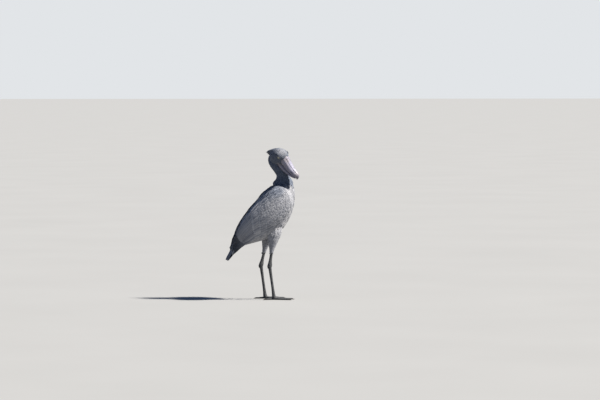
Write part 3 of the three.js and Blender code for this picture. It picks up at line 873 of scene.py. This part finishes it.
spot = luck.random((CREST_FEATHERS, 3))
shares = np.array([s for s, _ in CREST_VANE])
fan = spot[:, 0] * 2 - 1
root_x, root_z = -62 - 44 * spot[:, 1], 40 - 48 * spot[:, 1] ** 1.2 - 4 * fan**2
tip_x = -128 - 34 * luck.random(CREST_FEATHERS) * (1 - 0.55 * spot[:, 1] ** 2)
tip_z = -8 - 6 * (luck.random(CREST_FEATHERS) - 0.3) - 22 * spot[:, 1] ** 1.6
arch = 9 * np.sin(shares * np.pi) * (1 - spot[:, 1:2] * 0.6)
line_x = root_x[:, None] + (tip_x - root_x)[:, None] * shares
line_z = root_z[:, None] + (tip_z - root_z)[:, None] * shares + arch
line_y = fan[:, None] * (22 - 14 * shares) + 2 * luck.normal(0, 1, (CREST_FEATHERS, 1)) * shares
line_x, line_z = bent(line_x, line_z)
crest_lines = np.stack([line_x, line_y, line_z], -1) / 1000 @ head_turn.T + np.array(HEAD_PLACE)
up = head_turn @ (-0.56, 0, 0.83)
sideways = 0.5 * fan[:, None, None] * (head_turn @ (0, 1, 0))
crest_outs = unit(np.broadcast_to(up, crest_lines.shape) + sideways)
_, crest_faces = coat.nearest(crest_lines[:, 0])
wide = luck.uniform(0.007, 0.010, CREST_FEATHERS)
marks = {"tone": luck.uniform(-1, 1, CREST_FEATHERS), "pale": np.full(CREST_FEATHERS, 0.12)}
crest = vanes("crest_feathers", crest_lines, crest_outs, wide, CREST_VANE, BROAD, 0.3,
              face_map[crest_faces], marks, luck)
crest.data.materials.append(neck_look)
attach(crest, "root")
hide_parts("crest")

# Breast: long lance-shaped feathers with dark shafts and pale edges, which hang loosely from the
# root of the neck over the front of the body.
breast_look = feather_finish("breast_feather", 1.0, 0.5, 0.0014)
BREAST_VANE = ((0, 0.3), (0.12, 0.75), (0.35, 1), (0.6, 0.88), (0.8, 0.58), (0.93, 0.26), (1, 0.03))
BREAST_LONG, BREAST_WIDE, BREAST_APART = 0.066, 0.235, 0.0108
on_trunk = part_at == "trunk"
front = ramp(coat.places[:, 0] + 0.35 * coat.places[:, 2], 0.37, 0.45)
where_breast = on_trunk * front
faces, roots = coat.spread(where_breast, BREAST_APART, 5)
luck = np.random.default_rng(31)
long = BREAST_LONG * luck.uniform(0.85, 1.15, len(faces))
lay("breast_feathers", faces, roots, long, long * BREAST_WIDE, BREAST_VANE, BROAD, 13, breast_look,
    roof=0.28, loose=0.14, stray=0.13)

# Body: the mantle, flanks, belly and rump, in rounded feathers that overlap like tiles and lie
# back along the trunk towards the tail.
body_look = feather_finish("body_feather", 0.6, 0.5, 0.0014)
BODY_VANE = ((0, 0.3), (0.15, 0.75), (0.4, 1), (0.7, 0.94), (0.88, 0.68), (0.97, 0.34), (1, 0.06))
BODY_LONG, BODY_WIDE, BODY_APART = 0.05, 0.46, 0.0118
where_body = on_trunk * (where_breast <= 0.5)
faces, roots = coat.spread(where_body, BODY_APART, 6)
luck = np.random.default_rng(32)
long = BODY_LONG * luck.uniform(0.85, 1.15, len(faces))
lay("body_feathers", faces, roots, long, long * BODY_WIDE, BODY_VANE, BROAD, 14, body_look, roof=0.24)

# Thighs: loose feathering down to the bare leg, smaller towards its lower edge. No root stands so
# near the edge that its feather would turn in under it.
THIGH_HEM = 0.355
THIGH_LONG, THIGH_WIDE, THIGH_APART = 0.040, 0.0150, 0.0086
where_thigh = (part_at == "thigh") * (coat.places[:, 2] > THIGH_HEM + 0.015)
thigh_size = 0.62 + 0.38 * ramp(coat.places[:, 2], 0.36, 0.5)
faces, roots = coat.spread(where_thigh, THIGH_APART * thigh_size, 7)
sizes = coat.at(faces, thigh_size)
lay("thigh_feathers", faces, roots, THIGH_LONG * sizes, THIGH_WIDE * sizes, BODY_VANE, BROAD, 15, body_look,
    roof=0.26, loose=0.16, stray=0.16)

# Wing coverts: small feathers scattered over the shoulder, then ordered rows that grow longer
# towards the quills. The wing's edges in side view are those of its solid.
WING_TOP = (
    ((130, 848), (100, 876), (42, 892), (-22, 866), (-80, 804), (-136, 738))
    + ((-188, 684), (-228, 630), (-260, 574), (-288, 514), (-314, 454), (-332, 402))
)
WING_BOTTOM = (
    ((150, 792), (154, 738), (122, 674), (68, 616), (4, 570), (-60, 532))
    + ((-116, 500), (-172, 472), (-218, 442), (-260, 410), (-300, 378), (-326, 352))
)
SOLID_SHIFT = 84.1
covert_look = feather_finish("wing_covert", 0.6, 0.8, 0.0014)


def wing_spot(rib, down):
    """A place on the wing in side view, in metres: rib along it from 0 to 11, down from 0 to 1."""
    ribs = np.arange(12)
    ends = []
    for edge in (WING_TOP, WING_BOTTOM):
        table = np.array(edge, float)
        ends.append(np.stack([np.interp(rib, ribs, table[:, k]) for k in (0, 1)], -1))
    down = np.asarray(down)[..., None]
    return (ends[0] * (1 - down) + ends[1] * down + (SOLID_SHIFT, 0)) / 1000


def on_side(spots, sign):
    """Places, ways out and faces on the plumage's outside, straight in from the given side."""
    flat = spots.reshape(-1, 2)
    found = []
    for x, z in flat.tolist():
        hit = coat.tree.ray_cast((x, sign * 0.4, z), (0, -sign, 0), 0.42)
        if hit[0] is None:
            hit = coat.tree.find_nearest((x, sign * 0.06, z))
        found.append(hit)
    places = np.array([f[0][:] for f in found])
    places[:, 0], places[:, 2] = flat[:, 0], flat[:, 1]
    faces = np.array([f[2] for f in found])
    out = unit(unit(coat.at(faces, coat.out)) + (0, 0.7 * sign, 0))
    shape = spots.shape[:-1]
    return places.reshape(shape + (3,)), out.reshape(shape + (3,)), faces.reshape(shape)


def settle(lines, rounds):
    """Takes the small steps out of lines of points along their own length."""
    for _ in range(rounds):
        middle = (lines[:, :-2] + 2 * lines[:, 1:-1] + lines[:, 2:]) / 4
        lines = np.concatenate([lines[:, :1], middle, lines[:, -1:]], 1)
    return lines


def wing_row(name, sign, starts, ends, wide, shape, lifts, seed, dark=0.0):
    """Feathers laid on one wing from starts to ends, each a list of (rib, down). lifts are how far
    roots and tips stand over the plumage's outside, in metres."""
    luck = np.random.default_rng(seed)
    shares = np.array([s for s, _ in shape])
    starts, ends = np.array(starts, float), np.array(ends, float)
    path = starts[:, None] + (ends - starts)[:, None] * shares[None, :, None]
    path = path + luck.normal(0, 0.008, (len(starts), 1, 2)) * shares[None, :, None]
    lines, outs, faces = on_side(wing_spot(path[..., 0], path[..., 1]), sign)
    lines, outs = settle(lines, 2), unit(settle(outs, 3))
    lift = lifts[0] + (lifts[1] - lifts[0]) * np.sin(shares * np.pi / 2)
    lift = lift[None] + luck.normal(0, 0.0002, (len(starts), 1))
    lines = lines + outs * lift[..., None]
    marks = {"tone": luck.uniform(-1, 1, len(starts)), "pale": coat.at(faces[:, 0], pale)}
    marks["dark"] = np.broadcast_to(dark, (len(starts), len(shares)))
    return vanes(name, lines, outs, wide, shape, BROAD, 0.2, face_map[faces[:, 0]], marks, luck, 0.03)


def joined(name, pieces, look, slot, *nodes):
    """Several feather meshes as one piece."""
    pick(*pieces)
    bpy.ops.object.join()
    made = bpy.context.object
    made.name = made.data.name = name
    made.data.materials.append(look)
    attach(made, "root")
    if nodes:
        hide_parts(*nodes)


# How far along the wing each place lies, from the shoulder, in metres.
wing_way = unit(np.array(LIE["wing"]))
shoulder = np.array([WING_TOP[0][0] + SOLID_SHIFT, 0, WING_TOP[0][1]]) / 1000
along_wing = (coat.places - shoulder) @ wing_way
where_wing = part_at == "wing"
LESSER_UP_TO, UNDER_FROM = 0.26, 0.22
LESSER_LONG, LESSER_WIDE, LESSER_APART = 0.046, 0.0235, 0.0125
UNDER_LONG, UNDER_WIDE, UNDER_APART = 0.058, 0.029, 0.016
covert_size = 0.62 + 0.38 * ramp(along_wing, 0.0, 0.2)
faces, roots = coat.spread(where_wing * (along_wing < LESSER_UP_TO), LESSER_APART * covert_size, 8)
sizes = coat.at(faces, covert_size)
where_under = where_wing * (along_wing >= UNDER_FROM)
under_faces, under_roots = coat.spread(where_under, UNDER_APART, 10)
lay("wing_under_coverts", under_faces, under_roots, UNDER_LONG, UNDER_WIDE, BODY_VANE, BROAD, 18,
    covert_look, roof=0.15, clear=0.4)
lay("lesser_coverts", faces, roots, LESSER_LONG * sizes, LESSER_WIDE * sizes, BODY_VANE, BROAD, 16,
    covert_look, roof=0.2, clear=0.1, loose=0.1, stray=0.08)
COVERT_VANE = ((0, 0.35), (0.1, 0.75), (0.3, 1), (0.6, 1), (0.82, 0.86), (0.94, 0.56), (1, 0.1))
# Each row: the rib it starts from, its length in ribs, its feathers, their width in mm, and how
# far under the plumage's outside their roots and tips lie, in mm.
COVERT_ROWS = (
    (2.35, 1.05, 13, 25, 7, 1.2),
    (2.85, 1.15, 13, 27, 7, 1.4),
    (3.4, 1.3, 13, 29, 7, 1.6),
    (4.0, 1.55, 13, 31, 7, 1.8),
    (4.6, 1.9, 12, 34, 8, 2.2),
)
for side, sign in SIDES:
    rows = []
    for r, (rib, span, count, wide, root_deep, tip_deep) in enumerate(COVERT_ROWS):
        down = (np.arange(count) + 0.5 * (r % 2) + 0.2) / count
        slope = 0.9 * (down - 0.45)
        starts = np.stack([rib + slope, down], -1)
        ends = np.stack([rib + slope + span, down * 0.97], -1)
        lifts = (-root_deep / 1000, -tip_deep / 1000)
        rows.append(wing_row("row", sign, starts, ends, wide / 1000, COVERT_VANE, lifts, 40 + r))
    joined("wing_coverts_" + side, rows[::-1], covert_look, "plumage")

# Quills: the long flight feathers of the folded wing, nine primaries under thirteen secondaries
# on each outside, near black at the tips, and the shorter quills of the wing's inner side.
quill_look = feather_finish("quill", 0.9, 0.3, 0.0014, dark_tip=0.85)
QUILL_VANE = (
    ((0, 0.3), (0.06, 0.7), (0.2, 0.97), (0.4, 1), (0.6, 1))
    + ((0.78, 0.96), (0.9, 0.8), (0.97, 0.48), (1, 0.1))
)
PRIMARIES, PRIMARY_WIDE = 9, 0.034
SECONDARIES, SECONDARY_WIDE = 13, 0.040
quill_shares = np.array([s for s, _ in QUILL_VANE])
for side, sign in SIDES:
    order = np.linspace(0, 1, PRIMARIES)
    starts = np.stack([np.full(PRIMARIES, 6.2), 0.2 + 0.7 * order], -1)
    ends = np.stack([10.2 + 0.95 * order**0.7, 0.08 + 0.86 * order], -1)
    dark = 0.25 + 0.75 * ramp(quill_shares, 0.3, 0.8)
    lifts = (-0.010, -0.004)
    primaries = wing_row("primaries", sign, starts, ends, PRIMARY_WIDE, QUILL_VANE, lifts, 60, dark)
    order = np.linspace(0, 1, SECONDARIES)
    starts = np.stack([5.1 + 0.6 * (order - 0.5), 0.03 + 0.92 * order], -1)
    ends = np.stack([9.3 - 0.7 * order, 0.05 + 0.9 * order], -1)
    dark = 0.06 + 0.35 * ramp(quill_shares, 0.5, 1.0)
    lifts = (-0.008, -0.0015)
    secondaries = wing_row("secondaries", sign, starts, ends, SECONDARY_WIDE, QUILL_VANE, lifts, 61, dark)
    pieces = [primaries, secondaries]
    joined("flight_feathers_" + side, pieces, quill_look, "flight_feathers", "quills_" + side)

INNER_DOWN_TO = 0.405
INNER_LONG, INNER_APART = 0.105, 0.0135
where_quill = (part_at == "quills") * (coat.places[:, 2] > INNER_DOWN_TO)
faces, roots = coat.spread(where_quill, INNER_APART, 11)
luck = np.random.default_rng(62)
quill_size = 0.45 + 0.55 * ramp(roots[:, 2], 0.42, 0.56)
long = INNER_LONG * quill_size * luck.uniform(0.9, 1.08, len(faces))
lay("inner_quills", faces, roots, long, 0.011 + 0.014 * quill_size, COVERT_VANE, BROAD, 19, quill_look,
    roof=0.12, clear=0.45, loose=0.05, stray=0.03)

# Tail: twelve broad quills in a flat fan, the middle pair on top, seen above and below the
# wing tips, with a shorter set of coverts over their roots.
TAIL_TOP = ((-240, 528), (-272, 474), (-302, 422), (-330, 372), (-354, 328), (-362, 310))
TAIL_BOTTOM = ((-216, 448), (-248, 426), (-282, 396), (-316, 360), (-345, 323), (-358, 308))
TAIL_QUILLS, TAIL_QUILL_WIDE = 12, 0.036
tail_sets = []
for layer, (edge, outward) in enumerate(((TAIL_TOP, 1), (TAIL_BOTTOM, -1))):
    table = (np.array(edge, float) + (SOLID_SHIFT, 0)) / 1000
    rank = np.arange(TAIL_QUILLS) - (TAIL_QUILLS - 1) / 2
    from_edge = (TAIL_QUILLS - 1) / 2 - np.abs(rank)
    at = 0.3 + (5.0 - 0.02 * np.abs(rank)[:, None] - 0.3) * quill_shares
    x = np.interp(at, np.arange(6), table[:, 0])
    z = np.interp(at, np.arange(6), table[:, 1])
    y = rank[:, None] * (0.0052 + 0.0040 * quill_shares)
    lines = settle(np.stack([x, y, z], -1), 2)
    outs = unit(np.cross((0, 1, 0), unit(np.gradient(lines, axis=1))))
    outs = outs * np.sign(np.sum(outs * (-0.8 * outward, 0, 0.6 * outward), axis=-1, keepdims=True))
    lines = lines + outs * (0.0007 * from_edge - 0.001)[:, None, None]
    _, found = coat.nearest(lines[:, 0])
    luck = np.random.default_rng(70 + layer)
    dark = np.broadcast_to(0.2 + 0.5 * ramp(quill_shares, 0.5, 1.0), (TAIL_QUILLS, len(quill_shares)))
    marks = {"tone": luck.uniform(-1, 1, TAIL_QUILLS), "pale": np.full(TAIL_QUILLS, 0.35), "dark": dark}
    order = np.argsort(-np.abs(rank))
    marks = {title: values[order] for title, values in marks.items()}
    tail_sets.append(vanes("fan", lines[order], outs[order], TAIL_QUILL_WIDE, QUILL_VANE, BROAD, 0.12,
                           face_map[found[order]], marks, luck, 0.02))
joined("tail_feathers", tail_sets, quill_look, "flight_feathers", "tail")
COVER_BACK_TO = -0.214
COVER_LONG, COVER_WIDE, COVER_APART = 0.058, 0.026, 0.0125
where_cover = (part_at == "tail") * (coat.places[:, 0] > COVER_BACK_TO)
faces, roots = coat.spread(where_cover, COVER_APART, 9)
lay("tail_coverts", faces, roots, COVER_LONG, COVER_WIDE, BODY_VANE, BROAD, 17, body_look, roof=0.2)
